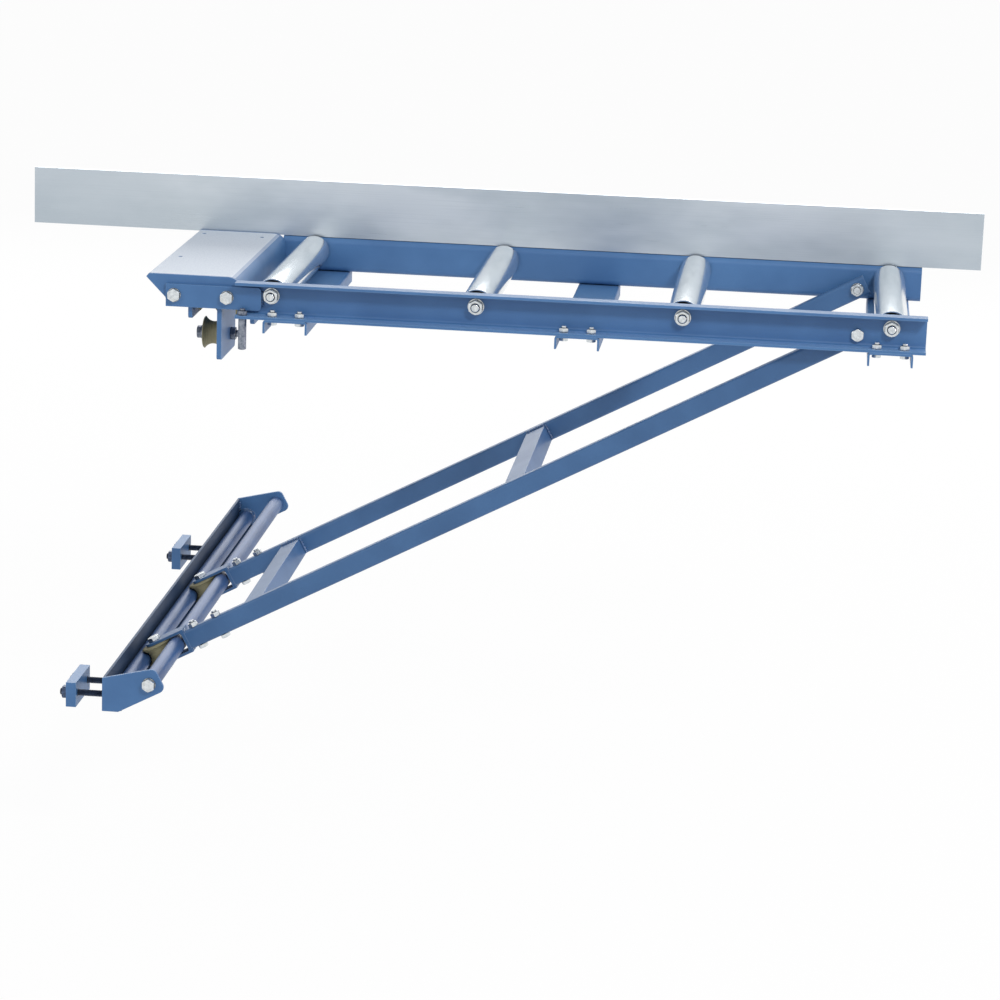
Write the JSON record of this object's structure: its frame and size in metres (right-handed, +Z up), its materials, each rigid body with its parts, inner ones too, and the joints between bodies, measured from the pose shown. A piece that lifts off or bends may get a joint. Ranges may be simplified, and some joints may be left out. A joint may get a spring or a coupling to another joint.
{
  "type": "roller conveyor table",
  "caption": "Roller conveyor table with steel side rails, a guide head, a straight fence and a sloping brace that rolls along a lower guide rail clamped to machine legs.",
  "frame": {"origin": "on the lower guide rail's back face, midway between the front leg clamp's two rods", "axes": "+X away from the machine along the conveyor's side rails, +Y along the guide rail towards the fence, +Z up"},
  "size_m": [1.49, 1.1318, 0.707],
  "materials": {
    "blue_paint": "satin powder coat",
    "zinc": "bright zinc plate",
    "dark_zinc": "blackened, satin",
    "roller_steel": "bright zinc plate, smooth",
    "fence_aluminium": "bare, finely brushed",
    "olive_plastic": "turned, matt"
  },
  "bodies": {
    "lower_rail": {"rail_back_angle": "blue_paint", "rail_end_plate_front": "blue_paint", "rail_end_plate_rear": "blue_paint", "rail_inner_tube": "blue_paint", "rail_outer_tube": "blue_paint", "outer_tube_bolts": "zinc", "leg_clamp_bar_front": "blue_paint", "leg_clamp_bar_rear": "blue_paint", "clamp_rods": "dark_zinc", "clamp_nuts": "dark_zinc"},
    "table": {"head_cover": "blue_paint", "head_skirt_front": "blue_paint", "head_skirt_rear": "blue_paint", "splice_bar_front": "blue_paint", "splice_bar_rear": "blue_paint", "head_bolts": "zinc", "side_rail_front": "blue_paint", "side_rail_rear": "blue_paint", "cross_member_left": "blue_paint", "cross_member_middle": "blue_paint", "cross_member_right": "blue_paint", "cross_member_bolts": "zinc", "hanger_left_front": "blue_paint", "hanger_left_rear": "blue_paint", "hanger_right_front": "blue_paint", "hanger_right_rear": "blue_paint", "upper_guide_axles": "zinc", "stop_pin": "zinc", "fence_plate": "fence_aluminium", "fence_brackets": "zinc", "fence_bolts": "zinc", "brace_bar_front": "blue_paint", "brace_bar_rear": "blue_paint", "brace_strut_lower": "blue_paint", "brace_strut_upper": "blue_paint", "brace_bolts": "zinc", "brace_spacers": "zinc", "fork_front": "blue_paint", "fork_rear": "blue_paint", "fork_bolts": "zinc", "lower_guide_axles": "zinc", "roller_axles": "zinc", "axle_nuts": "zinc"},
    "table_roller_1": {"roller_tube_1": "roller_steel", "roller_bearings_1": "zinc"},
    "table_roller_2": {"roller_tube_2": "roller_steel", "roller_bearings_2": "zinc"},
    "table_roller_3": {"roller_tube_3": "roller_steel", "roller_bearings_3": "zinc"},
    "table_roller_4": {"roller_tube_4": "roller_steel", "roller_bearings_4": "zinc"},
    "lower_guide_front": {"lower_guide_roller_front": "olive_plastic"},
    "lower_guide_rear": {"lower_guide_roller_rear": "olive_plastic"},
    "top_guide_front": {"top_guide_roller_front": "olive_plastic"},
    "top_guide_rear": {"top_guide_roller_rear": "olive_plastic"},
    "under_guide_front": {"under_guide_roller_front": "olive_plastic"},
    "under_guide_rear": {"under_guide_roller_rear": "olive_plastic"}
  },
  "joints": [
    {"name": "table_slide", "type": "slide", "parent": "lower_rail", "child": "table", "axis": [0, 1, 0], "range_m": [-0.18, 0.49]},
    {"name": "table_roller_1_spin", "type": "hinge", "parent": "table", "child": "table_roller_1", "pos_m": [0.205, 0.31, 0.57885], "axis": [0, 1, 0], "continuous": true},
    {"name": "table_roller_2_spin", "type": "hinge", "parent": "table", "child": "table_roller_2", "pos_m": [0.505, 0.31, 0.57885], "axis": [0, 1, 0], "continuous": true},
    {"name": "table_roller_3_spin", "type": "hinge", "parent": "table", "child": "table_roller_3", "pos_m": [0.805, 0.31, 0.57885], "axis": [0, 1, 0], "continuous": true},
    {"name": "table_roller_4_spin", "type": "hinge", "parent": "table", "child": "table_roller_4", "pos_m": [1.105, 0.31, 0.57885], "axis": [0, 1, 0], "continuous": true},
    {"name": "lower_guide_front_spin", "type": "hinge", "parent": "table", "child": "lower_guide_front", "pos_m": [0.04249, 0.127, 0.02246], "axis": [-0.4731, 0, 0.881], "continuous": true},
    {"name": "lower_guide_rear_spin", "type": "hinge", "parent": "table", "child": "lower_guide_rear", "pos_m": [0.04249, 0.497, 0.02246], "axis": [-0.4731, 0, 0.881], "continuous": true},
    {"name": "top_guide_front_spin", "type": "hinge", "parent": "table", "child": "top_guide_front", "pos_m": [0.1055, 0.15, 0.5675], "axis": [1, 0, 0], "continuous": true},
    {"name": "top_guide_rear_spin", "type": "hinge", "parent": "table", "child": "top_guide_rear", "pos_m": [0.1055, 0.47, 0.5675], "axis": [1, 0, 0], "continuous": true},
    {"name": "under_guide_front_spin", "type": "hinge", "parent": "table", "child": "under_guide_front", "pos_m": [0.1055, 0.19, 0.5035], "axis": [1, 0, 0], "continuous": true},
    {"name": "under_guide_rear_spin", "type": "hinge", "parent": "table", "child": "under_guide_rear", "pos_m": [0.1055, 0.43, 0.5035], "axis": [1, 0, 0], "continuous": true}
  ],
  "couplings": [
    {"joint": "lower_guide_front_spin", "follows": "table_slide", "rad_per_m": 58.824},
    {"joint": "lower_guide_rear_spin", "follows": "table_slide", "rad_per_m": 58.824},
    {"joint": "top_guide_front_spin", "follows": "table_slide", "rad_per_m": -58.824},
    {"joint": "top_guide_rear_spin", "follows": "table_slide", "rad_per_m": -58.824},
    {"joint": "under_guide_front_spin", "follows": "table_slide", "rad_per_m": 58.824},
    {"joint": "under_guide_rear_spin", "follows": "table_slide", "rad_per_m": 58.824}
  ]
}
